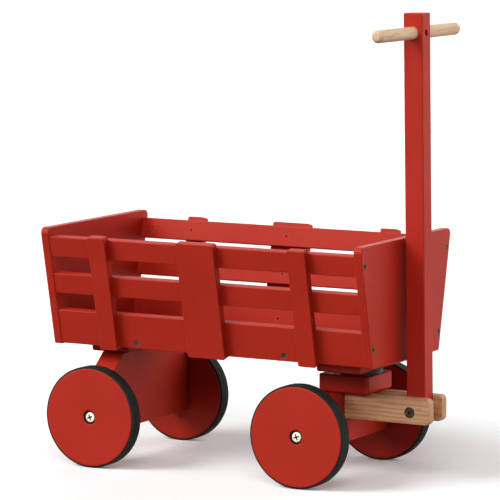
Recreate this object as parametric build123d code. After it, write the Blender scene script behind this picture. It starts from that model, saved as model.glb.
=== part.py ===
from build123d import *
import math
import os

# Toy pull wagon. +X is forward, towards the pull handle. +Y is the wagon's left. +Z is up.
# The origin is on the floor, under the middle of the overall length. Sizes in millimetres.

# ---- overall sizes
overall_length = 484.0      # rear face of the tub to the tips of the pull arms
tub_length = 441.5          # outside the two end boards
tub_bottom = 146.0          # underside of the end boards above the floor
tub_height = 147.4          # end board height
tub_bottom_width = 179.0    # end board width at its bottom edge
tub_top_width = 243.0       # end board width at its top edge
handle_length = 475.4       # pivot to the top of the pull shaft

# ---- boards
end_thickness = 10.5
side_thickness = 9.8
batten_thickness = 9.8
floor_thickness = 10.5
floor_lift = 2.5            # floor underside above the end board underside
edge_proud = 1.3            # end board edge beyond the slat faces
slat_height = 25.6
bottom_board_height = 43.5
slat_gap = 21.8
bottom_board_lift = 0.7
narrow_batten_width = 24.5
wide_batten_width = 52.0
batten_inset = 83.2         # narrow batten middle from the end of the tub
batten_top_margin = 5.6     # batten rises above the top slat
batten_bottom_margin = 1.4  # batten drops below the bottom board
edge_ease = 1.2             # broken edges on the boards
corner_radius = 7.0         # top corners of the end boards

# ---- wheels and axle beams
wheel_diameter = 125.0
wheel_width = 19.4
tyre_thickness = 2.3
tyre_setback = 1.4          # tyre edge in from each face of the wheel
rib_width = 6.0
rib_depth = 2.0
wheel_outer_width = 238.6   # outside face to outside face
rear_axle_from_rear = 68.0
front_axle_from_rear = 355.0
beam_thickness = 30.0
beam_bottom = 42.0
front_beam_top = 104.3
spacer_thickness = 3.3
spacer_radius = 8.0
axle_radius = 3.0
axle_screw_length = 60.0
hub_recess_radius = 8.5
hub_recess_depth = 5.0
axle_head_radius = 6.6
axle_head_height = 3.4

# ---- plates under the floor
plate_thickness = 12.5
rear_plate_length = 52.0
rear_plate_half_width = 62.5
rear_plate_middle = 63.0    # from the rear face
front_plate_length = 59.0
front_plate_half_width = 75.0
front_plate_middle = 388.0
shoulder_slope = 1.2        # sideways run per unit of drop on the rear beam shoulders

# ---- steering
swivel_from_rear = 381.0
block_length = 67.0
block_middle = 373.0
block_half_width = 33.5
block_height = 22.0
swivel_disc_radius = 26.0
swivel_bolt_radius = 4.0
swivel_head_radius = 9.0
swivel_head_height = 4.0
swivel_washer_radius = 9.0
swivel_washer_thickness = 1.6
swivel_nut_height = 6.5

# ---- pull arms, shaft and grip
arm_thickness = 12.3
arm_height = 31.8
arm_end_radius = 6.5
shaft_depth = 24.8          # front to back
shaft_width = 22.2          # side to side
shaft_below_pivot = 12.8
shaft_lean = 0.9            # degrees rearwards at rest
shaft_ahead = 2.5           # middle of the shaft ahead of the pivot
pivot_from_rear = 457.5
pivot_height = 86.3
pivot_radius = 4.0
pivot_head_radius = 5.75
pivot_recess_radius = 6.8
pivot_recess_depth = 5.0
grip_radius = 7.5
grip_length = 212.0
grip_from_pivot = 451.8
grip_end_round = 4.5
grip_neck_radius = 7.2      # where the bar is glued into the shaft
grip_neck_margin = 0.3      # neck beyond each side of the shaft
grip_recess_radius = 4.0
grip_recess_depth = 3.5

# ---- small screws
screw_radius = 1.8
screw_head_radius = 3.8
screw_head_height = 2.4
end_bolt_radius = 2.5
end_bolt_head_radius = 4.2
end_bolt_head_height = 2.6
barrel_radius = 4.6
barrel_length = 7.6
barrel_from_end_board = 17.0
floor_screw_inset = 118.3   # from the end of the tub
floor_screw_sink = 0.9      # heads sit this far below the sloping face

# ---- clearances
running_gap = 0.08          # radial, where a part turns on a pin
side_gap = 0.4              # face to face, where a part turns past another
handle_side_gap = 0.5       # pull shaft to each pull arm
fixed_gap = 0.04            # radial, round a fixed screw or pin
joint_gap = 0.05            # floor to side boards

# ---- worked out from the sizes above
rear_x = -overall_length / 2
front_x = rear_x + tub_length
arm_tip_x = overall_length / 2
half_bottom = tub_bottom_width / 2
half_top = tub_top_width / 2
flare = math.atan((half_top - half_bottom) / tub_height)
plate_bottom = tub_bottom + floor_lift - plate_thickness
floor_bottom = tub_bottom + floor_lift
floor_top = floor_bottom + floor_thickness
wheel_radius = wheel_diameter / 2
disc_radius = wheel_radius - tyre_thickness
wheel_outer_y = wheel_outer_width / 2
wheel_inner_y = wheel_outer_y - wheel_width
beam_half_length = wheel_inner_y - side_gap - spacer_thickness
rear_axle_x = rear_x + rear_axle_from_rear
front_axle_x = rear_x + front_axle_from_rear
front_beam_face = front_axle_x + beam_thickness / 2
swivel_x = rear_x + swivel_from_rear
block_x = rear_x + block_middle
block_bottom = front_beam_top
block_top = block_bottom + block_height
pivot_x = rear_x + pivot_from_rear
shaft_face = shaft_ahead + shaft_depth / 2
arm_inner_y = shaft_width / 2 + handle_side_gap
arm_middle_y = arm_inner_y + arm_thickness / 2
arm_outer_y = arm_inner_y + arm_thickness
arm_top = front_beam_top
mid_slat_start = bottom_board_lift + bottom_board_height + slat_gap
top_slat_start = mid_slat_start + slat_height + slat_gap
batten_start = bottom_board_lift - batten_bottom_margin
batten_end = top_slat_start + slat_height + batten_top_margin
bottom_bolt_height = 22.5   # end bolt line above the side frame's origin, up the slope
top_bolt_height = top_slat_start + slat_height / 2
batten_middles = [rear_x + batten_inset, rear_x + tub_length / 2, front_x - batten_inset]
batten_widths = [narrow_batten_width, wide_batten_width, narrow_batten_width]
slat_bands = [
    ("bottom_board", bottom_board_lift, bottom_board_height),
    ("middle_slat", mid_slat_start, slat_height),
    ("top_slat", top_slat_start, slat_height),
]


def side_plane():
    """Left side frame: x along the wagon, y outwards from the slat faces, z up the slope."""
    up = (0, math.sin(flare), math.cos(flare))
    out_y = math.cos(flare)
    out_z = -math.sin(flare)
    foot = (0, half_bottom - edge_proud * out_y, tub_bottom - edge_proud * out_z)
    return Plane(origin=foot, x_dir=(1, 0, 0), z_dir=up)


def mirrored(part):
    """The same piece on the wagon's right side."""
    return mirror(part, about=Plane.XZ)


def block(x0, x1, y0, y1, z0, z1):
    """A plain box between two corners."""
    centre = ((x0 + x1) / 2, (y0 + y1) / 2, (z0 + z1) / 2)
    return Pos(*centre) * Box(x1 - x0, y1 - y0, z1 - z0)


def rod(start, direction, radius, length):
    """A cylinder that starts at a point and runs along a direction."""
    place = Plane(origin=start, z_dir=direction)
    return place * Pos(0, 0, length / 2) * Cylinder(radius, length)


def eased(part, size):
    """All edges of a plain board broken with a small radius."""
    return fillet(part.edges(), size)


def joined(pieces):
    """Several separate solids kept as one node."""
    return Compound(children=list(pieces))


def screw(start, direction, length, radius=screw_radius, head=screw_head_radius,
          height=screw_head_height):
    """Countersunk cross-head screw. The head is flush with the start point."""
    place = Plane(origin=start, z_dir=direction)
    cone = Pos(0, 0, height / 2) * Cone(head, radius, height)
    shank = Pos(0, 0, length / 2) * Cylinder(radius, length)
    body = cone + shank
    slot_length = head * 1.1
    slot_width = head * 0.28
    slot_depth = height * 0.55
    body -= Pos(0, 0, slot_depth / 2) * Box(slot_length, slot_width, slot_depth)
    body -= Pos(0, 0, slot_depth / 2) * Box(slot_width, slot_length, slot_depth)
    return place * body


def screw_hole(start, direction, length, radius=screw_radius, head=screw_head_radius,
               height=screw_head_height):
    """The hole and countersink for such a screw, with the fixed clearance all round."""
    place = Plane(origin=start, z_dir=direction)
    cone = Pos(0, 0, height / 2) * Cone(head + fixed_gap, radius + fixed_gap, height)
    shank = Pos(0, 0, length / 2) * Cylinder(radius + fixed_gap, length + 2 * fixed_gap)
    return place * (cone + shank)


# ---- where the fasteners go ------------------------------------------------------------

def side_point(x, outwards, up):
    """A point given in the left side frame, in wagon coordinates."""
    point = side_plane().from_local_coords(Vector(x, outwards, up))
    return (point.X, point.Y, point.Z)


def side_normal():
    """Outward direction of the left side."""
    return (0, math.cos(flare), -math.sin(flare))


def batten_screw_starts():
    """Inner-face start points of the screws that hold the battens, one per board crossed."""
    starts = []
    for x in batten_middles:
        for name, start, height in slat_bands:
            starts.append(side_point(x, -side_thickness, start + height / 2))
    return starts


def barrel_starts():
    """Inner-face start points of the barrel nuts, rear pair first."""
    starts = []
    for x in (rear_x + end_thickness + barrel_from_end_board,
              front_x - end_thickness - barrel_from_end_board):
        for up in (bottom_bolt_height, top_bolt_height):
            starts.append(side_point(x, -side_thickness, up))
    return starts


def end_bolt_lines():
    """Height pairs of the end bolts on the left, in the middle of the side thickness."""
    lines = []
    for up in (bottom_bolt_height, top_bolt_height):
        point = side_point(0, -side_thickness / 2, up)
        lines.append((point[1], point[2]))
    return lines


def floor_screw_starts():
    """Start points of the level screws from the side boards into the floor edge, just sunk in."""
    up = (floor_bottom + floor_thickness / 2 - tub_bottom) / math.cos(flare)
    points = []
    for x in (rear_x + floor_screw_inset, front_x - floor_screw_inset):
        px, py, pz = side_point(x, 0, up)
        points.append((px, py - floor_screw_sink, pz))
    return points


def floor_screw_hole(point):
    """Clearance for one floor screw and its head, open to the outside."""
    return screw_hole(point, inward, floor_screw_length) + rod(
        point, (0, 1, 0), screw_head_radius + fixed_gap, 3.0)


batten_screw_length = side_thickness + 6.5
floor_screw_length = 32.0
end_bolt_length = end_thickness + barrel_from_end_board + 3.0
inward = (0, -1, 0)


# ---- tub -------------------------------------------------------------------------------

def side_board(start, height):
    """One left side board between the end boards, eased, with its screw holes."""
    length = tub_length - 2 * end_thickness
    body = Box(length, side_thickness, height)
    body = fillet(body.edges().filter_by(Axis.X), edge_ease)
    centre = (rear_x + tub_length / 2, -side_thickness / 2, start + height / 2)
    board = side_plane() * Pos(*centre) * body
    for point in batten_screw_starts():
        board -= screw_hole(point, side_normal(), batten_screw_length)
    for point in barrel_starts():
        board -= rod(point, side_normal(), barrel_radius + fixed_gap, barrel_length + fixed_gap)
    for y, z in end_bolt_lines():
        reach = end_bolt_length + fixed_gap
        board -= rod((rear_x, y, z), (1, 0, 0), end_bolt_radius + fixed_gap, reach)
        board -= rod((front_x, y, z), (-1, 0, 0), end_bolt_radius + fixed_gap, reach)
    for point in floor_screw_starts():
        board -= floor_screw_hole(point)
    return board


def batten(middle, width):
    """One upright on the outside of the left boards, with rounded corners."""
    height = batten_end - batten_start
    body = Box(width, batten_thickness, height)
    body = fillet(body.edges().filter_by(Axis.Y), 3.0)
    body = fillet(body.faces().sort_by(Axis.Y)[-1].edges(), edge_ease)
    piece = side_plane() * Pos(middle, batten_thickness / 2, batten_start + height / 2) * body
    for point in batten_screw_starts():
        piece -= screw_hole(point, side_normal(), batten_screw_length)
    return piece


def end_board(x0, outward):
    """An end board, wider at its top, with rounded top corners and its bolt holes."""
    top = tub_bottom + tub_height
    outline = Polyline((-half_bottom, tub_bottom), (half_bottom, tub_bottom),
                       (half_top, top), (-half_top, top), close=True)
    face = make_face(Plane.YZ * outline)
    board = Pos(x0, 0, 0) * extrude(face, end_thickness, dir=(1, 0, 0))
    upright = board.edges().filter_by(Axis.X)
    top_edges = [e for e in upright if e.center().Z > tub_bottom + tub_height / 2]
    board = fillet(top_edges, corner_radius)
    low_edges = [e for e in board.edges().filter_by(Axis.X)
                 if e.center().Z < tub_bottom + 1]
    board = fillet(low_edges, 2.5)
    outer = board.faces().sort_by(Axis.X)
    board = fillet(outer[0].edges() + outer[-1].edges(), edge_ease)
    face_x = x0 if outward < 0 else x0 + end_thickness
    for y, z in end_bolt_lines():
        for side in (1, -1):
            board -= screw_hole((face_x, side * y, z), (-outward, 0, 0), end_bolt_length,
                                end_bolt_radius, end_bolt_head_radius, end_bolt_head_height)
    return board


def side_inner_y(z):
    """Half width inside the side boards at a height."""
    slope = math.tan(flare)
    outer = half_bottom + (z - tub_bottom) * slope
    return outer - (edge_proud + side_thickness) / math.cos(flare)


def floor_board():
    """The floor, with sloped long edges that fit the side boards."""
    low = side_inner_y(floor_bottom) - joint_gap
    high = side_inner_y(floor_top) - joint_gap
    outline = Polyline((-low, floor_bottom), (low, floor_bottom),
                       (high, floor_top), (-high, floor_top), close=True)
    length = tub_length - 2 * end_thickness
    start = rear_x + end_thickness
    board = Pos(start, 0, 0) * extrude(make_face(Plane.YZ * outline), length, dir=(1, 0, 0))
    for point in floor_screw_starts():
        hole = floor_screw_hole(point)
        board -= hole
        board -= mirrored(hole)
    for centre, spots in ((rear_plate_middle, rear_plate_spots()),
                          (front_plate_middle, front_plate_spots())):
        for x, y in spots:
            board -= screw_hole((x, y, plate_bottom), (0, 0, 1), plate_screw_length)
    for x, y in rear_beam_spots():
        board -= screw_hole((x, y, floor_top), (0, 0, -1), beam_screw_length)
    hole_radius = swivel_bolt_radius + fixed_gap
    board -= rod((swivel_x, 0, floor_bottom), (0, 0, 1), hole_radius, floor_thickness)
    board -= rod((swivel_x, 0, floor_top - swivel_head_height), (0, 0, 1),
                 swivel_head_radius + fixed_gap, swivel_head_height)
    return board


# ---- plates, beams and steering --------------------------------------------------------

plate_screw_length = plate_thickness + 7.0
beam_screw_length = floor_thickness + plate_thickness + 28.0


def rear_plate_spots():
    """Screws from the rear plate up into the floor, clear of the beam."""
    x = rear_x + rear_plate_middle - rear_plate_length / 2 + 8.0
    return [(x, -45.0), (x, 45.0)]


def front_plate_spots():
    """Screws from the front plate up into the floor."""
    middle = rear_x + front_plate_middle
    reach = front_plate_length / 2 - 10.0
    return [(middle + sx * reach, sy * 58.0) for sx in (-1, 1) for sy in (-1, 1)]


def rear_beam_spots():
    """Screws from the floor down through the rear plate into the beam."""
    return [(rear_axle_x, -38.0), (rear_axle_x, 38.0)]


def cross_plate(middle, length, half_width, spots):
    """A flat plate across the underside of the floor, with rounded lower edges."""
    x = rear_x + middle
    plate = block(x - length / 2, x + length / 2, -half_width, half_width,
                  plate_bottom, floor_bottom)
    plate = fillet(plate.edges().filter_by(Axis.Z), 3.0)
    plate = fillet(plate.faces().sort_by(Axis.Z)[0].edges(), 2.5)
    for sx, sy in spots:
        plate -= screw_hole((sx, sy, plate_bottom), (0, 0, 1), plate_screw_length)
    return plate


def rear_cross_plate():
    """The plate over the rear axle beam."""
    plate = cross_plate(rear_plate_middle, rear_plate_length, rear_plate_half_width,
                        rear_plate_spots())
    for x, y in rear_beam_spots():
        plate -= screw_hole((x, y, floor_top), (0, 0, -1), beam_screw_length)
    return plate


def front_cross_plate():
    """The plate over the swivel."""
    plate = cross_plate(front_plate_middle, front_plate_length, front_plate_half_width,
                        front_plate_spots())
    hole_radius = swivel_bolt_radius + fixed_gap
    plate -= rod((swivel_x, 0, plate_bottom), (0, 0, 1), hole_radius, plate_thickness)
    return plate


def axle_hole(axle_x, side):
    """Hole for one axle screw in the end of a beam."""
    start = (axle_x, side * beam_half_length, wheel_radius)
    depth = axle_screw_length - wheel_width
    return rod(start, (0, -side, 0), axle_radius + fixed_gap, depth)


def rear_axle_beam():
    """Thick plank on edge with sloping shoulders, drilled for the two axle screws."""
    top_half = rear_plate_half_width
    drop = (beam_half_length - top_half) / shoulder_slope
    shoulder = plate_bottom - drop
    outline = Polyline((-beam_half_length, beam_bottom), (beam_half_length, beam_bottom),
                       (beam_half_length, shoulder), (top_half, plate_bottom),
                       (-top_half, plate_bottom), (-beam_half_length, shoulder), close=True)
    start = rear_axle_x - beam_thickness / 2
    beam = extrude(make_face(Plane.YZ * outline), beam_thickness, dir=(1, 0, 0))
    beam = fillet(beam.edges().filter_by(Axis.X), 1.5)
    faces = beam.faces().sort_by(Axis.X)
    beam = fillet(faces[0].edges() + faces[-1].edges(), edge_ease)
    beam = Pos(start, 0, 0) * beam
    for side in (1, -1):
        beam -= axle_hole(rear_axle_x, side)
    for x, y in rear_beam_spots():
        beam -= screw_hole((x, y, floor_top), (0, 0, -1), beam_screw_length)
    return beam


arm_screw_heights = [front_beam_top - 8.5, front_beam_top - 24.0]
arm_screw_recess = 6.0
arm_screw_length = beam_thickness - arm_screw_recess + 18.0
block_screw_length = block_height + 16.0


def arm_screw_starts():
    """Screw start points behind the front beam, two for each arm."""
    x = front_beam_face - beam_thickness + arm_screw_recess
    return [(x, side * arm_middle_y, z) for side in (1, -1) for z in arm_screw_heights]


def block_screw_starts():
    """Screws down through the swivel block, two into the beam and two into the arms."""
    beam_spots = [(front_axle_x - 2.0, side * 27.0, block_top) for side in (1, -1)]
    arm_x = block_x + block_length / 2 - 9.0
    arm_spots = [(arm_x, side * arm_middle_y, block_top) for side in (1, -1)]
    return beam_spots + arm_spots


def front_axle_beam():
    """Thick plank on edge that carries the front wheels and the pull arms."""
    x0 = front_beam_face - beam_thickness
    beam = block(x0, front_beam_face, -beam_half_length, beam_half_length,
                 beam_bottom, front_beam_top)
    beam = eased(beam, edge_ease)
    for side in (1, -1):
        beam -= axle_hole(front_axle_x, side)
    for start in arm_screw_starts():
        beam -= screw_hole(start, (1, 0, 0), arm_screw_length)
        back = (start[0] - arm_screw_recess, start[1], start[2])
        beam -= rod(back, (1, 0, 0), screw_head_radius + fixed_gap, arm_screw_recess)
    for start in block_screw_starts():
        beam -= screw_hole(start, (0, 0, -1), block_screw_length)
    return beam


def swivel_block():
    """Block that sits on the front beam and both arms and turns under the tub."""
    piece = block(block_x - block_length / 2, block_x + block_length / 2,
                  -block_half_width, block_half_width, block_bottom, block_top)
    piece = fillet(piece.edges().filter_by(Axis.Z), 4.5)
    piece = fillet(piece.faces().sort_by(Axis.Z)[0].edges(), 3.5)
    piece = fillet(piece.faces().sort_by(Axis.Z)[-1].edges(), 2.0)
    piece -= rod((swivel_x, 0, block_bottom), (0, 0, 1),
                 swivel_bolt_radius + running_gap, block_height)
    for start in block_screw_starts():
        piece -= screw_hole(start, (0, 0, -1), block_screw_length)
    return piece


def swivel_disc():
    """Round glide disc between the front plate and the swivel block."""
    low = block_top + side_gap
    disc = rod((swivel_x, 0, low), (0, 0, 1), swivel_disc_radius, plate_bottom - low)
    disc -= rod((swivel_x, 0, low), (0, 0, 1), swivel_bolt_radius + fixed_gap,
                plate_bottom - low)
    return disc


def swivel_bolt():
    """Bolt sunk flush in the tub floor, down through the swivel block."""
    bottom = block_bottom - side_gap - swivel_washer_thickness - swivel_nut_height - 2.0
    shank = rod((swivel_x, 0, bottom), (0, 0, 1), swivel_bolt_radius, floor_top - bottom)
    head = rod((swivel_x, 0, floor_top - swivel_head_height), (0, 0, 1),
               swivel_head_radius, swivel_head_height)
    rim = head.faces().sort_by(Axis.Z)[-1].edges()
    head = fillet(rim, 1.0)
    return shank + head


def swivel_nut():
    """Lock nut on a washer, under the swivel block."""
    top = block_bottom - side_gap
    washer_low = top - swivel_washer_thickness
    washer = rod((swivel_x, 0, washer_low), (0, 0, 1), swivel_washer_radius,
                 swivel_washer_thickness)
    hexagon = RegularPolygon(7.2, 6)
    place = Pos(swivel_x, 0, washer_low - swivel_nut_height)
    nut = place * extrude(hexagon, swivel_nut_height)
    nut += washer
    low = washer_low - swivel_nut_height
    nut -= rod((swivel_x, 0, low), (0, 0, 1), swivel_bolt_radius + fixed_gap, top - low)
    return nut


# ---- wheels ----------------------------------------------------------------------------

def on_left_axle(part, axle_x):
    """Place a piece modelled along +Z, its zero at the wheel's inner face, on a left axle."""
    place = Plane(origin=(axle_x, wheel_inner_y, wheel_radius), x_dir=(1, 0, 0), z_dir=(0, 1, 0))
    return place * part


def wheel_disc():
    """Solid wheel with a rib groove round its rim and a recess for the axle screw."""
    disc = Pos(0, 0, wheel_width / 2) * Cylinder(disc_radius, wheel_width)
    disc = fillet(disc.edges(), 1.2)
    groove_radius = disc_radius - rib_depth - fixed_gap
    ring = Cylinder(disc_radius + 1, rib_width + 2 * fixed_gap)
    ring -= Cylinder(groove_radius, rib_width + 2 * fixed_gap)
    disc -= Pos(0, 0, wheel_width / 2) * ring
    disc -= Pos(0, 0, wheel_width / 2) * Cylinder(axle_radius + running_gap, wheel_width)
    recess_middle = wheel_width - hub_recess_depth / 2
    disc -= Pos(0, 0, recess_middle) * Cylinder(hub_recess_radius, hub_recess_depth)
    return disc


def tyre():
    """Rubber band with rounded shoulders and an inner rib."""
    outer = Pos(0, 0, wheel_width / 2) * Cylinder(wheel_radius, wheel_width - 2 * tyre_setback)
    outer = fillet(outer.edges(), 1.5)
    outer -= Pos(0, 0, wheel_width / 2) * Cylinder(disc_radius + fixed_gap, wheel_width)
    rib = Cylinder(disc_radius + tyre_thickness / 2, rib_width)
    rib -= Cylinder(disc_radius - rib_depth, rib_width)
    return outer + Pos(0, 0, wheel_width / 2) * rib


def axle_screw():
    """Round-headed cross-slot axle screw, from inside the beam to the wheel recess."""
    head_low = wheel_width - hub_recess_depth + side_gap
    head = Pos(0, 0, head_low + axle_head_height / 2) * Cylinder(axle_head_radius, axle_head_height)
    head = fillet(head.faces().sort_by(Axis.Z)[-1].edges(), 2.4)
    top = head_low + axle_head_height
    for length, width in ((7.6, 1.7), (1.7, 7.6)):
        head -= Pos(0, 0, top - 1.0) * Box(length, width, 2.0)
    bottom = -spacer_thickness - side_gap - (axle_screw_length - wheel_width) + 2.0
    shank = Pos(0, 0, (head_low + bottom) / 2) * Cylinder(axle_radius, head_low - bottom)
    return head + shank


def spacer():
    """Ring between the beam end and the wheel."""
    ring = Cylinder(spacer_radius, spacer_thickness)
    ring -= Cylinder(axle_radius + fixed_gap, spacer_thickness)
    return Pos(0, 0, -side_gap - spacer_thickness / 2) * ring


# ---- pull handle -----------------------------------------------------------------------

def pull_arm():
    """Left arm: a bar with rounded tip corners, fixed to the front beam."""
    arm = block(front_beam_face, arm_tip_x, arm_inner_y, arm_outer_y,
                arm_top - arm_height, arm_top)
    tip = [e for e in arm.edges().filter_by(Axis.Y) if e.center().X > arm_tip_x - 1]
    arm = fillet(tip, arm_end_radius)
    faces = arm.faces().sort_by(Axis.Y)
    arm = fillet(faces[0].edges() + faces[-1].edges(), edge_ease)
    centre = (pivot_x, arm_inner_y, pivot_height)
    arm -= rod(centre, (0, 1, 0), pivot_radius + fixed_gap, arm_thickness)
    recess = (pivot_x, arm_outer_y - pivot_recess_depth, pivot_height)
    arm -= rod(recess, (0, 1, 0), pivot_recess_radius, pivot_recess_depth)
    for start in arm_screw_starts():
        arm -= screw_hole(start, (1, 0, 0), arm_screw_length)
    for start in block_screw_starts():
        arm -= screw_hole(start, (0, 0, -1), block_screw_length)
    return arm


def in_handle(part):
    """Place a piece modelled with the pivot at its origin and the shaft along +Z."""
    return Pos(pivot_x, 0, pivot_height) * Rot(0, -shaft_lean, 0) * part


def pull_shaft():
    """Square-section upright, drilled for the pivot, the grip and the grip screw."""
    height = handle_length + shaft_below_pivot
    middle = (handle_length - shaft_below_pivot) / 2
    body = Pos(shaft_ahead, 0, middle) * Box(shaft_depth, shaft_width, height)
    low = [e for e in body.edges().filter_by(Axis.Y) if e.center().Z < 0]
    body = fillet(low, 6.0)
    body = fillet(body.edges().filter_by(Axis.Z), 1.5)
    body = fillet(body.faces().sort_by(Axis.Z)[-1].edges(), 1.5)
    body -= rod((0, -shaft_width, 0), (0, 1, 0), pivot_radius + running_gap, 2 * shaft_width)
    body -= rod((shaft_ahead, -shaft_width, grip_from_pivot), (0, 1, 0), grip_radius + fixed_gap,
                2 * shaft_width)
    body -= rod((shaft_face, 0, grip_from_pivot), (-1, 0, 0), grip_recess_radius,
                grip_recess_depth)
    body -= grip_screw_hole()
    return in_handle(body)


grip_screw_length = 15.0


def grip_screw_start():
    """Seat of the grip screw inside its recess, in handle coordinates."""
    return (shaft_face - grip_recess_depth, 0, grip_from_pivot)


def grip_screw_hole():
    """Clearance round the grip screw, in handle coordinates."""
    return screw_hole(grip_screw_start(), (-1, 0, 0), grip_screw_length, 1.6, 3.2, 2.0)


def grip_dowel():
    """Round cross bar with rounded ends, turned a little thinner where it is glued."""
    bar = rod((shaft_ahead, -grip_length / 2, grip_from_pivot), (0, 1, 0), grip_radius,
              grip_length)
    ends = bar.faces().sort_by(Axis.Y)
    bar = fillet(ends[0].edges() + ends[-1].edges(), grip_end_round)
    reach = shaft_width / 2 + grip_neck_margin
    collar = rod((shaft_ahead, -reach, grip_from_pivot), (0, 1, 0), grip_radius + 1, 2 * reach)
    bar -= collar - rod((shaft_ahead, -reach, grip_from_pivot), (0, 1, 0), grip_neck_radius,
                        2 * reach)
    bar -= grip_screw_hole()
    return in_handle(bar)


def grip_screw():
    """Screw that stops the cross bar turning."""
    return in_handle(screw(grip_screw_start(), (-1, 0, 0), grip_screw_length, 1.6, 3.2, 2.0))


def handle_bolt():
    """Socket-headed pivot bolt with its head in the right arm."""
    seat = arm_outer_y - pivot_recess_depth
    head_height = pivot_recess_depth - 1.0
    head = rod((pivot_x, -seat - head_height, pivot_height), (0, 1, 0), pivot_head_radius,
               head_height)
    head = fillet(head.faces().sort_by(Axis.Y)[0].edges(), 0.8)
    shank = rod((pivot_x, -seat, pivot_height), (0, 1, 0), pivot_radius, 2 * seat)
    thread = rod((pivot_x, seat, pivot_height), (0, 1, 0), 2.5, head_height - 1.5)
    place = Plane(origin=(pivot_x, -seat - head_height, pivot_height), z_dir=(0, 1, 0))
    socket = place * extrude(RegularPolygon(2.9, 6), 2.4)
    return head + shank + thread - socket


def handle_nut():
    """Matching cap in the left arm."""
    seat = arm_outer_y - pivot_recess_depth
    height = pivot_recess_depth - 1.0
    cap = rod((pivot_x, seat, pivot_height), (0, 1, 0), pivot_head_radius, height)
    cap = fillet(cap.faces().sort_by(Axis.Y)[-1].edges(), 0.8)
    cap -= rod((pivot_x, seat, pivot_height), (0, 1, 0), 2.5 + fixed_gap, height - 1.4)
    return cap


# ---- groups of fasteners ---------------------------------------------------------------

def batten_screws():
    """The nine screws on the left that hold the battens."""
    return [screw(p, side_normal(), batten_screw_length) for p in batten_screw_starts()]


def barrel_nuts():
    """The four slotted barrel nuts on the left that take the end bolts."""
    nuts = []
    for point in barrel_starts():
        nut = rod(point, side_normal(), barrel_radius, barrel_length)
        nut -= Plane(origin=point, x_dir=(1, 0, 0), z_dir=side_normal()) * Box(7.0, 1.2, 2.0)
        for y, z in end_bolt_lines():
            nut -= rod((rear_x, y, z), (1, 0, 0), end_bolt_radius + fixed_gap, tub_length)
        nuts.append(nut)
    return nuts


def end_bolts(face_x, inwards):
    """The four bolts through one end board."""
    bolts = []
    for y, z in end_bolt_lines():
        for side in (1, -1):
            bolts.append(screw((face_x, side * y, z), (inwards, 0, 0), end_bolt_length,
                               end_bolt_radius, end_bolt_head_radius, end_bolt_head_height))
    return bolts


def save(name, part):
    """Write one node as its own file."""
    export_step(part, f"parts/{name}.step")


def save_sides(name, part):
    """Write a piece for the left and its mirror image for the right."""
    save(f"left_{name}", part)
    save(f"right_{name}", mirrored(part))


def main():
    os.makedirs("parts", exist_ok=True)
    save("floor_board", floor_board())
    save("rear_end_board", end_board(rear_x, -1))
    save("front_end_board", end_board(front_x - end_thickness, 1))
    for name, start, height in slat_bands:
        save_sides(name, side_board(start, height))
    for name, middle, width in zip(("rear", "middle", "front"), batten_middles, batten_widths):
        save_sides(f"{name}_batten", batten(middle, width))
    save("rear_cross_plate", rear_cross_plate())
    save("front_cross_plate", front_cross_plate())
    save("rear_axle_beam", rear_axle_beam())
    save("front_axle_beam", front_axle_beam())
    save("swivel_block", swivel_block())
    save("swivel_disc", swivel_disc())
    save("swivel_bolt", swivel_bolt())
    save("swivel_nut", swivel_nut())
    save_sides("pull_arm", pull_arm())
    save("pull_shaft", pull_shaft())
    save("grip_dowel", grip_dowel())
    save("grip_screw", grip_screw())
    save("handle_bolt", handle_bolt())
    save("handle_nut", handle_nut())
    for name, axle_x in (("rear", rear_axle_x), ("front", front_axle_x)):
        save_sides(f"{name}_wheel_disc", on_left_axle(wheel_disc(), axle_x))
        save_sides(f"{name}_tyre", on_left_axle(tyre(), axle_x))
        save_sides(f"{name}_axle_screw", on_left_axle(axle_screw(), axle_x))
        save_sides(f"{name}_wheel_spacer", on_left_axle(spacer(), axle_x))
    left_screws = batten_screws()
    save("left_batten_screws", joined(left_screws))
    save("right_batten_screws", joined([mirrored(s) for s in batten_screws()]))
    save("left_barrel_nuts", joined(barrel_nuts()))
    save("right_barrel_nuts", joined([mirrored(n) for n in barrel_nuts()]))
    save("rear_end_bolts", joined(end_bolts(rear_x, 1)))
    save("front_end_bolts", joined(end_bolts(front_x, -1)))
    floor_screws = [screw(p, inward, floor_screw_length) for p in floor_screw_starts()]
    floor_screws += [mirrored(screw(p, inward, floor_screw_length)) for p in floor_screw_starts()]
    save("floor_screws", joined(floor_screws))
    plate_spots = rear_plate_spots() + front_plate_spots()
    save("plate_screws", joined(screw((x, y, plate_bottom), (0, 0, 1), plate_screw_length)
                                for x, y in plate_spots))
    save("rear_beam_screws", joined(screw((x, y, floor_top), (0, 0, -1), beam_screw_length)
                                    for x, y in rear_beam_spots()))
    save("arm_screws", joined(screw(p, (1, 0, 0), arm_screw_length) for p in arm_screw_starts()))
    save("block_screws", joined(screw(p, (0, 0, -1), block_screw_length)
                                for p in block_screw_starts()))


main()
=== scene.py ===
# %% [markdown]
# # A slatted toy wagon, dressed for a catalogue
#
# The wagon is built in another program as separate boards, screws and wheels that fit
# together with real clearances. Here those parts come in as a fixed frame. We leave the
# boards where they are and give them paint, and we remodel the pieces whose shape the
# eye reads closely: wheels, tyres, axle screws and the grip bar.

# %% Load the frame
import bpy, math
from mathutils import Matrix, Vector


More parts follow.
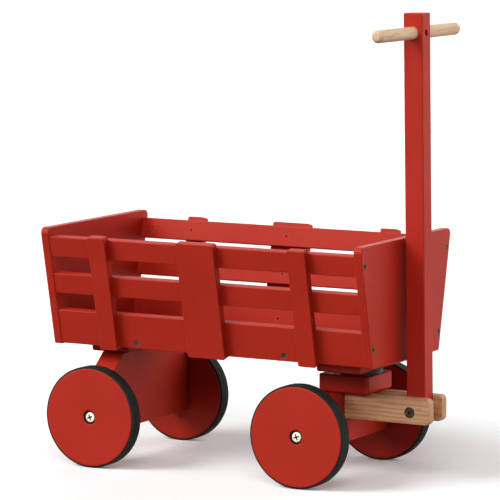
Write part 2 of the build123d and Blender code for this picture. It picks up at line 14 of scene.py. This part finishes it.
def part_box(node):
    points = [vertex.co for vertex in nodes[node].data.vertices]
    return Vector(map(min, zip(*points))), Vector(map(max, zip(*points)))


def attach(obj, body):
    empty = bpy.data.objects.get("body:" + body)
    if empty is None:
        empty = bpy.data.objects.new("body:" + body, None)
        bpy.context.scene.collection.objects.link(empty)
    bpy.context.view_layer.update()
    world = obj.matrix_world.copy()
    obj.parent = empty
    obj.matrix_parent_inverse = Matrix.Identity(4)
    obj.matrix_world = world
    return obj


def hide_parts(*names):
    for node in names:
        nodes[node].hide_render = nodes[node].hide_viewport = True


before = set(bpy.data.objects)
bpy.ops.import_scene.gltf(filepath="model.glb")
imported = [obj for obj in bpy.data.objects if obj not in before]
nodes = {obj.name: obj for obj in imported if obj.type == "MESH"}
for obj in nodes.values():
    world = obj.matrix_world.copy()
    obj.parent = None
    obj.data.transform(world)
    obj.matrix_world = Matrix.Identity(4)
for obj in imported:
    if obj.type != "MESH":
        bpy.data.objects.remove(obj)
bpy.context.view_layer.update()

# %% [markdown]
# ## Small tools for shaders
#
# Shader maths is easier to read as a formula than as a web of nodes. `Num` wraps one
# socket and turns `+`, `*` and friends into Math nodes, so `1 - mask` is a node too.
# `Sheet` is one material. Its `node` method adds any other node in one line: its type,
# its settings, then what goes into its sockets.

# %% Number sockets as formulas
class Num:
    def __init__(self, sheet, socket):
        self.sheet, self.socket = sheet, socket

    def _math(self, operation, *values):
        made = self.sheet.node("ShaderNodeMath", {"operation": operation}, dict(enumerate(values)))
        return Num(self.sheet, made.outputs[0])

    def __add__(self, other): return self._math("ADD", self, other)
    def __radd__(self, other): return self._math("ADD", other, self)
    def __sub__(self, other): return self._math("SUBTRACT", self, other)
    def __rsub__(self, other): return self._math("SUBTRACT", other, self)
    def __mul__(self, other): return self._math("MULTIPLY", self, other)
    def __rmul__(self, other): return self._math("MULTIPLY", other, self)
    def __truediv__(self, other): return self._math("DIVIDE", self, other)
    def __rtruediv__(self, other): return self._math("DIVIDE", other, self)
    def __pow__(self, other): return self._math("POWER", self, other)
    def least(self, other): return self._math("MINIMUM", self, other)
    def most(self, other): return self._math("MAXIMUM", self, other)
    def size(self): return self._math("ABSOLUTE", self)

    def ramp(self, low, high, to_low=0.0, to_high=1.0):
        """Smooth step from to_low to to_high while this goes from low to high."""
        made = self.sheet.node("ShaderNodeMapRange", {"interpolation_type": "SMOOTHSTEP"},
                               {"Value": self, "From Min": low, "From Max": high,
                                "To Min": to_low, "To Max": to_high})
        return Num(self.sheet, made.outputs["Result"])


# %% One material as a sheet of nodes
class Sheet:
    def __init__(self, name):
        self.material = bpy.data.materials.new(name)
        self.material.use_nodes = True
        self.tree = self.material.node_tree
        self.shader = self.tree.nodes["Principled BSDF"]
        self.place = self.node("ShaderNodeTexCoord").outputs["Object"]

    def node(self, kind, settings=None, sockets=None):
        made = self.tree.nodes.new(kind)
        for key, value in (settings or {}).items():
            setattr(made, key, value)
        for key, value in (sockets or {}).items():
            self.feed(made.inputs[key], value)
        return made

    def feed(self, target, value):
        if isinstance(value, Num):
            value = value.socket
        if isinstance(value, bpy.types.NodeSocket):
            self.tree.links.new(value, target)
        elif isinstance(value, tuple) and len(value) == 3 and target.type == "RGBA":
            target.default_value = (*value, 1)
        else:
            target.default_value = value

    def stretched(self, scale, spot=(0, 0, 0)):
        """Object coordinates multiplied by a scale for each axis."""
        made = self.node("ShaderNodeMapping", {"vector_type": "POINT"},
                         {"Vector": self.place, "Location": spot, "Scale": scale})
        return made.outputs["Vector"]

    def noise(self, scale, detail=3.0, rough=0.5, where=None, twist=0.0):
        made = self.node("ShaderNodeTexNoise", {}, {
            "Vector": where or self.place, "Scale": scale, "Detail": detail,
            "Roughness": rough, "Distortion": twist})
        return Num(self, made.outputs["Fac"])

    def blend(self, amount, first, second, mode="MIX"):
        """Mix two colours, or tint one with the other."""
        made = self.node("ShaderNodeMix", {"data_type": "RGBA", "blend_type": mode},
                         {0: amount, 6: first, 7: second})
        return made.outputs[2]

    def raised(self, height, distance, under=None):
        """Turn a height into a bumped normal, on top of another if given."""
        sockets = {"Height": height, "Distance": distance, "Strength": 1.0}
        if under:
            sockets["Normal"] = under
        return self.node("ShaderNodeBump", {}, sockets).outputs["Normal"]

    def edge(self, radius):
        """Near 1 on edges and corners, 0 on flats: how far a rounded normal turns away."""
        soft = self.node("ShaderNodeBevel", {"samples": 6}, {"Radius": radius}).outputs["Normal"]
        flat = self.node("ShaderNodeNewGeometry").outputs["Normal"]
        dot = self.node("ShaderNodeVectorMath", {"operation": "DOT_PRODUCT"}, {0: soft, 1: flat})
        return (1 - Num(self, dot.outputs["Value"])).ramp(0.005, 0.16)

    def finish(self, **sockets):
        for key, value in sockets.items():
            self.feed(self.shader.inputs[key.replace("_", " ")], value)
        return self.material


def along(axis, lengthwise, across):
    """A scale for each axis, small along the grain and large across it."""
    return tuple(lengthwise if a == axis else across for a in "XYZ")


# %% [markdown]
# ## Red paint on solid wood
#
# The boards are sprayed with a satin red that is thick enough to hide the timber but not
# its relief. Three layers of height make that: a long faint swelling of the growth
# rings, fine fibres that follow the grain, and the pebbled skin of the spray. The colour
# barely changes, but sharp edges are painted lighter, partly where the thin paint shows
# the light under-coat and partly as a painted highlight, and it is darker where dust
# settles in the slow hollows. Grain runs the long way of each board, so the material is
# made once for each direction.

# %% Paint, one for each grain direction
RED = (0.430, 0.0275, 0.0110)
RED_DEEP = (0.365, 0.0195, 0.0070)
# Lighter red for sharp edges: thinned paint and a painted highlight.
RED_EDGE_AND_HIGHLIGHT = (0.60, 0.095, 0.058)


def painted_wood(axis):
    paint = Sheet("red_paint_" + axis.lower())
    rings = paint.noise(1.0, 4.0, 0.55, paint.stretched(along(axis, 5, 75)), 0.6)
    fibres = paint.noise(1.0, 3.0, 0.6, paint.stretched(along(axis, 26, 900)))
    peel = paint.noise(750.0, 2.0, 0.5)
    cloud = paint.noise(9.0, 3.0, 0.55)
    specks = paint.noise(420.0, 2.0, 0.4).ramp(0.70, 0.78)
    edge = paint.edge(0.0016)
    # Edge mask: where the paint thins, and where a highlight is painted on.
    worn_and_highlight = edge * paint.noise(95.0, 4.0, 0.6).ramp(0.38, 0.70, 0.25, 1.0)
    colour = paint.blend(cloud.ramp(0.3, 0.72) * 0.55, RED, RED_DEEP)
    colour = paint.blend(fibres.ramp(0.52, 0.8) * 0.16, colour, RED_DEEP)
    colour = paint.blend(specks * 0.12, colour, RED_DEEP)
    colour = paint.blend(worn_and_highlight * 0.6, colour, RED_EDGE_AND_HIGHLIGHT)
    height = rings * 0.5 + fibres * 0.22 + peel * 0.10
    rough = 0.40 + cloud * 0.08 + fibres * 0.07 + worn_and_highlight * 0.06
    paint.shader.inputs["Specular IOR Level"].default_value = 0.24
    return paint.finish(Base_Color=colour, Roughness=rough,
                        Normal=paint.raised(height, 0.00022))


paints = {axis: painted_wood(axis) for axis in "XYZ"}
print("paints", sorted(m.name for m in paints.values()))

# %% [markdown]
# ## Bare light timber
#
# The two pull arms and the grip bar are unpainted softwood under clear oil. Growth rings
# are bands across the grain, bent a little by a slow noise, so a side shows long
# streaks and an end shows arcs. Fine dark dashes are resin ducts and pores: the same
# noise stretched even more, with only its peaks kept.

# %% Timber, one for each grain direction
def bare_timber(axis, tilt, light, dark):
    wood = Sheet("oiled_timber_" + axis.lower())
    bent = wood.stretched(along(axis, 1.6, 1), tilt)
    slow = wood.noise(14.0, 2.0, 0.5, wood.stretched(along(axis, 2.2, 20)))
    split = wood.node("ShaderNodeSeparateXYZ", {}, {0: bent})
    across = [Num(wood, split.outputs[a]) for a in "XYZ" if a != axis]
    reach = (across[0] ** 2 + across[1] ** 2) ** 0.5
    phase = (reach * 1500 + slow * 7.0)
    ring = wood.node("ShaderNodeMath", {"operation": "SINE"}, {0: phase})
    late = Num(wood, ring.outputs[0]).ramp(-0.1, 1.0)
    fibres = wood.noise(1.0, 4.0, 0.65, wood.stretched(along(axis, 40, 1300)))
    ducts = wood.noise(1.0, 1.0, 0.4, wood.stretched(along(axis, 55, 700))).ramp(0.70, 0.76)
    tone = wood.noise(1.0, 3.0, 0.5, wood.stretched(along(axis, 9, 60)))
    edge = wood.edge(0.0012)
    colour = wood.blend(tone.ramp(0.3, 0.7), light, (light[0] * 0.87, light[1] * 0.80, light[2] * 0.76))
    colour = wood.blend(late * 0.5, colour, dark)
    colour = wood.blend(fibres.ramp(0.45, 0.75) * 0.22, colour, (0.50, 0.31, 0.17))
    colour = wood.blend(ducts * 0.5, colour, (0.30, 0.17, 0.09))
    colour = wood.blend(edge * 0.35, colour, (0.88, 0.72, 0.52))
    height = fibres * 0.5 - late * 0.35 - ducts * 0.8
    rough = 0.50 + late * 0.08 + fibres * 0.12 - edge * 0.08
    return wood.finish(Base_Color=colour, Roughness=rough,
                       Normal=wood.raised(height, 0.00016))


arm_timber = bare_timber("X", (0.0, 0.05, -0.121), (0.59, 0.345, 0.190), (0.26, 0.120, 0.055))
grip_timber = bare_timber("Y", (0.09, 0.0, -0.49), (0.70, 0.50, 0.335), (0.52, 0.32, 0.19))
print("timber", arm_timber.name, grip_timber.name)

# %% [markdown]
# ## Rubber, zinc and moulded plastic
#
# Moulded rubber is nearly black with a dry, uneven sheen and a bloom of grey where it is
# handled; its rounded edges are painted lighter as a highlight. The axle screws are zinc
# plated: bright but not mirrors, with a fine sparkle from the plating and scratches from
# the driver. The smaller screws and bolts that show outside are a dark bronze. A dull
# black is painted shade at the bottom of a recess and in a screw's cross slot. The glide
# disc and the wheel spacers are the plain black plastic that such a toy hides between
# its moving parts.

# %% Rubber
def tyre_rubber():
    rubber = Sheet("tyre_rubber")
    bloom = rubber.noise(38.0, 4.0, 0.6)
    grit = rubber.noise(1400.0, 3.0, 0.6)
    edge = rubber.edge(0.0010)
    # Grey bloom where handled, plus rounded edges painted lighter as a highlight.
    dust_and_edge_highlight = bloom.ramp(0.45, 0.75) * 0.45 + edge * 0.35
    colour = rubber.blend(dust_and_edge_highlight, (0.012, 0.0145, 0.0125), (0.055, 0.060, 0.052))
    rough = 0.52 + bloom * 0.22 + grit * 0.08
    rubber.shader.inputs["Specular IOR Level"].default_value = 0.22
    return rubber.finish(Base_Color=colour, Roughness=rough,
                         Normal=rubber.raised(grit * 0.6 + bloom * 0.4, 0.00012))


rubber = tyre_rubber()

# %% Two screw finishes, a dull black for painted recess shade, and black plastic
def plated(name, bright, stained, metallic, rough_from):
    metal = Sheet(name)
    sparkle = metal.noise(900.0, 3.0, 0.6)
    stain = metal.noise(120.0, 3.0, 0.5)
    scratch = metal.noise(1.0, 2.0, 0.5, metal.stretched((160, 160, 2600))).ramp(0.62, 0.70)
    edge = metal.edge(0.0006)
    colour = metal.blend(stain.ramp(0.35, 0.7), bright, stained)
    colour = metal.blend(edge * 0.5, colour, tuple(min(1.0, v * 1.3) for v in bright))
    rough = rough_from + sparkle * 0.12 + stain * 0.10 + scratch * 0.12
    return metal.finish(Base_Color=colour, Metallic=metallic, Roughness=rough,
                        Normal=metal.raised(sparkle * 0.5 - scratch * 0.8, 0.00004))


def black_plastic():
    plastic = Sheet("black_plastic")
    grain = plastic.noise(1600.0, 2.0, 0.5)
    cloud = plastic.noise(60.0, 2.0, 0.5)
    colour = plastic.blend(cloud, (0.020, 0.020, 0.021), (0.045, 0.045, 0.046))
    return plastic.finish(Base_Color=colour, Roughness=0.42 + grain * 0.2,
                          Normal=plastic.raised(grain, 0.00008))


zinc = plated("zinc_plate", (0.86, 0.79, 0.66), (0.70, 0.62, 0.50), 0.75, 0.34)
bronze = plated("dark_bronze", (0.115, 0.085, 0.060), (0.055, 0.040, 0.028), 0.8, 0.36)
# A dull black that paints the shade in recesses and slots.
painted_recess_shade = plated("recess_painted_shade", (0.012, 0.010, 0.009), (0.022, 0.018, 0.015), 0.0, 0.60)
plastic = black_plastic()
print("metal and plastic", zinc.name, bronze.name, painted_recess_shade.name, plastic.name)

# %% [markdown]
# ## Dressing the frame
#
# Each packed board keeps its shape and place, and only takes a material. The grain
# direction follows how the piece would be cut: slats and arms lie along the wagon, end
# boards and axle beams across it, battens and the pull shaft stand up. The screws and
# nuts inside the tub went through the spray booth with the boards, so they are red too.

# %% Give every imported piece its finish
def grain_of(name):
    if "batten" in name or name == "pull_shaft":
        return "Z"
    if "end_board" in name or "axle_beam" in name or "cross_plate" in name:
        return "Y"
    return "X"


def finish_of(name):
    if "tyre" in name:
        return rubber
    if "batten_screws" in name or "barrel_nuts" in name:
        return paints["Y"]
    if any(word in name for word in ("end_bolts", "floor_screws", "handle", "grip_screw")):
        return bronze
    if any(word in name for word in ("screw", "bolt", "nut")):
        return zinc
    if "pull_arm" in name:
        return arm_timber
    if name == "grip_dowel":
        return grip_timber
    if name == "swivel_disc" or "spacer" in name:
        return plastic
    return paints[grain_of(name)]


for name, node in nodes.items():
    node.data.materials.clear()
    node.data.materials.append(finish_of(name))
print("dressed", len(nodes), "pieces")

# %% [markdown]
# ## Working by hand in code
#
# New pieces start as a primitive at its real size and place, and are then shaped with
# the same operators a modeller would click. Everything is deselected first, because a
# freshly loaded frame is all selected. Faces are picked by the way they point or where
# they lie. When a piece is done, its place is written into its mesh, so patterns and
# joints read the same origin as the frame.

# %% Selection and finishing helpers
def begin():
    bpy.ops.object.select_all(action="DESELECT")


def pick_faces(piece, wanted):
    """Select in edit mode only the faces for which wanted(centre, normal) is true."""
    bpy.ops.object.mode_set(mode="OBJECT")
    for part in (*piece.data.edges, *piece.data.vertices):
        part.select = False
    count = 0
    turn = piece.matrix_world.to_3x3()
    for face in piece.data.polygons:
        face.select = bool(wanted(piece.matrix_world @ face.center, turn @ face.normal))
        count += face.select
    bpy.ops.object.mode_set(mode="EDIT")
    bpy.ops.mesh.select_mode(type="FACE")
    return count


def settle(piece, name, degrees=35):
    """Leave edit mode, write the place into the mesh and shade smooth up to an angle."""
    bpy.ops.object.mode_set(mode="OBJECT")
    piece.name = name
    piece.data.name = name
    bpy.ops.object.transform_apply(location=True, rotation=True, scale=True)
    bpy.ops.object.shade_smooth_by_angle(angle=math.radians(degrees))
    return piece


def rounded(piece, width, segments, degrees=40):
    """Apply a bevel to every edge sharper than an angle."""
    bpy.ops.object.mode_set(mode="OBJECT")
    bevel = piece.modifiers.new("round", "BEVEL")
    bevel.width = width
    bevel.segments = segments
    bevel.limit_method = "ANGLE"
    bevel.angle_limit = math.radians(degrees)
    bpy.ops.object.modifier_apply(modifier=bevel.name)


def copied(piece, name, shift=(0, 0, 0), about_turn=False):
    """A copy with its own mesh, moved, and turned half round the wagon's middle if asked."""
    twin = piece.copy()
    twin.data = piece.data.copy()
    twin.name = name
    twin.data.name = name
    bpy.context.scene.collection.objects.link(twin)
    if about_turn:
        twin.data.transform(Matrix.Rotation(math.pi, 4, "Z"))
    twin.data.transform(Matrix.Translation(Vector(shift)))
    return twin


def second_finish(piece, finish):
    """Give the faces selected in edit mode a second material, then leave edit mode."""
    piece.data.materials.append(finish)
    piece.active_material_index = len(piece.data.materials) - 1
    bpy.ops.object.material_slot_assign()
    bpy.ops.object.mode_set(mode="OBJECT")


def middle(name):
    low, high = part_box(name)
    return (low + high) / 2


def extent(name):
    low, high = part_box(name)
    return high - low


# %% [markdown]
# ## The wheels
#
# Each wheel is one turned and painted disc with a rubber band let into its rim. The disc
# starts as a cylinder. Its outer cap is inset down to the screw recess and pushed in,
# and a bevel rounds the rim. The plain face is what the eye lands on, so it is ringed by
# two narrow insets: they keep the shading of the bevels from spreading over the flat.

# %% Wheel disc
disc_size = extent("left_rear_wheel_disc")
disc_radius = disc_size.x / 2
wheel_width = disc_size.y
hub = middle("left_rear_wheel_disc")
recess_radius = 0.0085
recess_depth = 0.005
rim_band = 0.0030           # keeps the rim's shading off the flat face
recess_band = 0.0020        # and the recess's
rim_round = 0.0011
facing_y = (math.radians(-90), 0, 0)

begin()
bpy.ops.mesh.primitive_cylinder_add(vertices=128, radius=disc_radius, depth=wheel_width,
                                    location=hub, rotation=facing_y)
disc = bpy.context.object
print("outer caps", pick_faces(disc, lambda c, n: n.y > 0.9))
bpy.ops.mesh.inset(thickness=rim_band)
bpy.ops.mesh.inset(thickness=disc_radius - rim_band - recess_radius - recess_band)
bpy.ops.mesh.inset(thickness=recess_band)
bpy.ops.mesh.extrude_region_move(TRANSFORM_OT_translate={"value": (0, -recess_depth, 0)})
pick_faces(disc, lambda c, n: n.y < -0.9)
bpy.ops.mesh.inset(thickness=rim_band)
rounded(disc, rim_round, 4)
settle(disc, "left_rear_wheel_face")
disc.data.materials.append(paints["Y"])
# The recess floor and walls take the dull black: painted shade.
below_face = hub.y + wheel_width / 2 - rim_round - 0.0001
inside = pick_faces(disc, lambda c, n: hub.y < c.y < below_face
                    and math.hypot(c.x - hub.x, c.z - hub.z) < recess_radius + 0.0002)
second_finish(disc, painted_recess_shade)
print("recess faces", inside)
print("disc faces", len(disc.data.polygons), "width", round(wheel_width, 4))

# %% [markdown]
# ## The tyres
#
# A tyre here is a moulded rubber band: a short tube with soft shoulders and a hairline
# ridge where the two halves of the mould met. The tube is a cylinder with no caps, made
# thick with Solidify. Two cuts round its middle free a narrow band, which is then pushed
# out by a tenth of a millimetre or so to make the ridge.

# %% Tyre
tyre_size = extent("left_rear_tyre")
wheel_radius = tyre_size.x / 2
tyre_width = tyre_size.y
tyre_wall = wheel_radius - disc_radius
ridge_half_width = 0.0004
ridge_height = 0.00015

begin()
bpy.ops.mesh.primitive_cylinder_add(vertices=128, radius=wheel_radius - ridge_height,
                                    depth=tyre_width, end_fill_type="NOTHING",
                                    location=hub, rotation=facing_y)
tyre = bpy.context.object
for offset in (-ridge_half_width, ridge_half_width):
    bpy.ops.object.mode_set(mode="EDIT")
    bpy.ops.mesh.select_all(action="SELECT")
    bpy.ops.mesh.bisect(plane_co=hub + Vector((0, offset, 0)), plane_no=(0, 1, 0))
seam = pick_faces(tyre, lambda c, n: abs(c.y - hub.y) < ridge_half_width * 0.75)
bpy.ops.mesh.inset(thickness=ridge_height)
bpy.ops.transform.shrink_fatten(value=ridge_height)
bpy.ops.object.mode_set(mode="OBJECT")
wall = tyre.modifiers.new("wall", "SOLIDIFY")
wall.thickness = tyre_wall
wall.offset = -1
bpy.ops.object.modifier_apply(modifier=wall.name)
rounded(tyre, tyre_wall * 0.46, 5, 60)  # both shoulders, almost meeting
settle(tyre, "left_rear_tyre_band")
tyre.data.materials.append(rubber)
print("seam faces", seam, "tyre faces", len(tyre.data.polygons), "wall", round(tyre_wall, 4))

# %% [markdown]
# ## The axle screws
#
# Each wheel turns on a pan-headed screw sunk in the hub. The head is a short cylinder
# with a generous bevel on its rim. The cross slot is cut with a boolean by a cutter made
# of two thin blocks whose tips taper, as a driver's tip does, and the shank is the
# underside inset and drawn out.

# %% Screw head and shank
head_radius = extent("left_rear_axle_screw").x / 2
screw_low, screw_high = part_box("left_rear_axle_screw")
head_height = 0.0034
head_round = 0.0021
shank_radius = 0.003
head_middle = Vector((hub.x, screw_high.y - head_height / 2, hub.z))

begin()
bpy.ops.mesh.primitive_cylinder_add(vertices=64, radius=head_radius, depth=head_height,
                                    location=head_middle, rotation=facing_y)
screw = bpy.context.object
pick_faces(screw, lambda c, n: n.y > 0.9)
bpy.ops.mesh.bevel(offset=head_round, segments=6, affect="EDGES")
pick_faces(screw, lambda c, n: n.y < -0.9)
bpy.ops.mesh.inset(thickness=head_radius - shank_radius)
bpy.ops.mesh.extrude_region_move(
    TRANSFORM_OT_translate={"value": (0, screw_low.y - (screw_high.y - head_height), 0)})
bpy.ops.object.mode_set(mode="OBJECT")
print("head radius", round(head_radius, 4), "shank", round(screw_high.y - screw_low.y, 4))

# %% Cross slot
blade_size = (0.0112, 0.0050, 0.0022)
tip_taper = (0.35, 1, 0.6)
slot_turn = 20


def slot_blade(turn):
    begin()
    bpy.ops.mesh.primitive_cube_add(size=1, location=(hub.x, screw_high.y, hub.z))
    blade = bpy.context.object
    blade.scale = blade_size
    bpy.ops.object.transform_apply(location=False, rotation=False, scale=True)
    pick_faces(blade, lambda c, n: n.y < -0.9)
    bpy.ops.transform.resize(value=tip_taper)
    bpy.ops.object.mode_set(mode="OBJECT")
    blade.rotation_euler = (0, turn, 0)
    return blade


for turn in (slot_turn, slot_turn + 90):
    blade = slot_blade(math.radians(turn))
    begin()
    screw.select_set(True)
    bpy.context.view_layer.objects.active = screw
    cut = screw.modifiers.new("slot", "BOOLEAN")
    cut.operation = "DIFFERENCE"
    cut.solver = "EXACT"
    cut.object = blade
    bpy.ops.object.modifier_apply(modifier=cut.name)
    bpy.data.objects.remove(blade)
settle(screw, "left_rear_axle_screw_head", 30)
screw.data.materials.append(zinc)
# The faces in the cross slot take the dull black: painted shade.
cross = pick_faces(screw, lambda c, n: screw_high.y - 0.0030 < c.y < screw_high.y - 0.0002
                   and math.hypot(c.x - hub.x, c.z - hub.z) < 0.0044)
second_finish(screw, painted_recess_shade)
print("cross faces", cross)
print("screw faces", len(screw.data.polygons))

# %% [markdown]
# ## Four corners
#
# The finished wheel, tyre and screw are copied to the other three corners. The right
# side is a half turn about the wagon's middle rather than a mirror image, so no face is
# turned inside out. The screws stay with the beam they are driven into, while discs and
# tyres ride on the wheel bodies.

# %% Copy, place and hand over to the joints
step = middle("left_front_wheel_disc").x - hub.x
corners = {
    "left_rear": ((0, 0, 0), False), "left_front": ((step, 0, 0), False),
    "right_rear": ((2 * hub.x, 0, 0), True), "right_front": ((2 * hub.x + step, 0, 0), True)}
for corner, (shift, about) in corners.items():
    first = corner == "left_rear"
    face = disc if first else copied(disc, corner + "_wheel_face", shift, about)
    band = tyre if first else copied(tyre, corner + "_tyre_band", shift, about)
    pin = screw if first else copied(screw, corner + "_axle_screw_head", shift, about)
    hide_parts(corner + "_wheel_disc")
    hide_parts(corner + "_tyre")
    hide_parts(corner + "_axle_screw")
    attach(face, corner + "_wheel")
    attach(band, corner + "_wheel")
    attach(pin, "steering_bogie" if "front" in corner else "tub")
print("corners", list(corners))

# %% [markdown]
# ## The grip bar
#
# A plain dowel through the top of the shaft, with its ends rounded over by a router. It
# is one cylinder along the bar, and a bevel on the rim of each end cap is the rounding.

# %% Grip bar
bar_size = extent("grip_dowel")
bar_middle = middle("grip_dowel")
begin()
bpy.ops.mesh.primitive_cylinder_add(vertices=64, radius=bar_size.x / 2, depth=bar_size.y,
                                    location=bar_middle, rotation=facing_y)
bar = bpy.context.object
end_round = 0.0046
pick_faces(bar, lambda c, n: abs(n.y) > 0.9)
bpy.ops.mesh.bevel(offset=end_round, segments=7, affect="EDGES")
settle(bar, "grip_bar", 40)
bar.data.materials.append(grip_timber)
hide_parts("grip_dowel")
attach(bar, "pull_handle")
print("bar faces", len(bar.data.polygons), "length", round(bar_size.y, 3))

# %% [markdown]
# ## Floor, light and camera
#
# The wagon stands in a white studio. The floor is a pale plane, and the room beyond it is
# a white shell that the camera and shiny faces see but that lights nothing, so it does not
# wash out the paint. The key light stands high on the left and lights the near side, and
# a softer one fills from the front. For the faces towards the handle there are a low
# light behind on the right, whose shade falls beside the shaft, and a low wall of light
# that the front board keeps out of the tub. A broad wall behind draws a line along every
# top edge. The lens is long, so the wheels keep their round shape.

# %% Floor and white room
begin()
bpy.ops.mesh.primitive_plane_add(size=80, location=(0, 0, 0))
floor = bpy.context.object
floor.name = "studio_floor"
pale = Sheet("pale_floor")
pale_tone = pale.noise(3.0, 2.0, 0.5)
floor.data.materials.append(pale.finish(
    Base_Color=pale.blend(pale_tone, (0.93, 0.93, 0.93), (0.91, 0.91, 0.91)),
    Roughness=0.75 + pale_tone * 0.1, Emission_Color=(1.0, 1.0, 1.0), Emission_Strength=0.07))
floor.visible_diffuse = False

bpy.ops.mesh.primitive_uv_sphere_add(radius=70, segments=48, ring_count=24)
room = bpy.context.object
room.name = "white_room"
glow = bpy.data.materials.new("room_white")
glow.use_nodes = True
glow_shader = glow.node_tree.nodes["Principled BSDF"]
glow_shader.inputs["Base Color"].default_value = (0, 0, 0, 1)
glow_shader.inputs["Emission Color"].default_value = (1, 1, 1, 1)
glow_shader.inputs["Emission Strength"].default_value = 1.05
room.data.materials.append(glow)
for ray in ("diffuse", "transmission", "volume_scatter", "shadow"):
    setattr(room, "visible_" + ray, False)


# %% Lights
def lamp(name, kind, spot, aim, **settings):
    light = bpy.data.lights.new(name, kind)
    for key, value in settings.items():
        setattr(light, key, value)
    holder = bpy.data.objects.new(name, light)
    holder.location = spot
    holder.rotation_euler = (Vector(aim) - Vector(spot)).to_track_quat("-Z", "Y").to_euler()
    holder.visible_camera = False
    bpy.context.scene.collection.objects.link(holder)
    return holder


def from_side(around, up, reach=3.0):
    """A spot by its angle round the wagon from the near side, and its height angle."""
    turn, rise = math.radians(around), math.radians(up)
    return (reach * math.sin(turn) * math.cos(rise), -reach * math.cos(turn) * math.cos(rise),
            reach * math.sin(rise))


soft = math.radians(36)
lamp("left_key", "SUN", from_side(-40, 36), (0, 0, 0), energy=2.15, angle=soft)
lamp("front_fill", "SUN", from_side(25, 34), (0, 0, 0), energy=1.25, angle=soft)
kicker = lamp("right_kicker", "SUN", from_side(142, 9), (0, 0, 0), energy=1.25, angle=soft)
kicker.visible_glossy = False
low_wall = lamp("right_wall", "AREA", (2.3, 0.9, 0.20), (0.2, 0, 0.20), energy=14,
                shape="RECTANGLE", size=1.6, size_y=0.40)
low_wall.visible_glossy = False
lamp("left_skim", "SUN", from_side(-75, 12), (0, 0, 0), energy=0.35, angle=soft)
lamp("back_wall", "AREA", (-1.6, 4.4, 1.3), (0, 0, 0.6), energy=30,
     shape="RECTANGLE", size=8.0, size_y=2.6)
world = bpy.data.worlds.new("studio_air")
world.use_nodes = True
world.node_tree.nodes["Background"].inputs["Color"].default_value = (1, 1, 1, 1)
world.node_tree.nodes["Background"].inputs["Strength"].default_value = 0.12
bpy.context.scene.world = world
bpy.context.scene.view_settings.view_transform = "Standard"
bpy.context.scene.view_settings.look = "Medium High Contrast"

# %% Camera
lens = bpy.data.cameras.new("product_camera")
lens.lens = 240.1
lens.sensor_width = 36
lens.clip_end = 200
camera = bpy.data.objects.new("product_camera", lens)
camera.location = (1.9531, -3.5472, 0.7556)
aim = Vector((0.0344, -0.0890, 0.2782))
camera.rotation_euler = (aim - camera.location).to_track_quat("-Z", "Y").to_euler()
bpy.context.scene.collection.objects.link(camera)
bpy.context.scene.camera = camera
print("camera at", [round(v, 3) for v in camera.location])
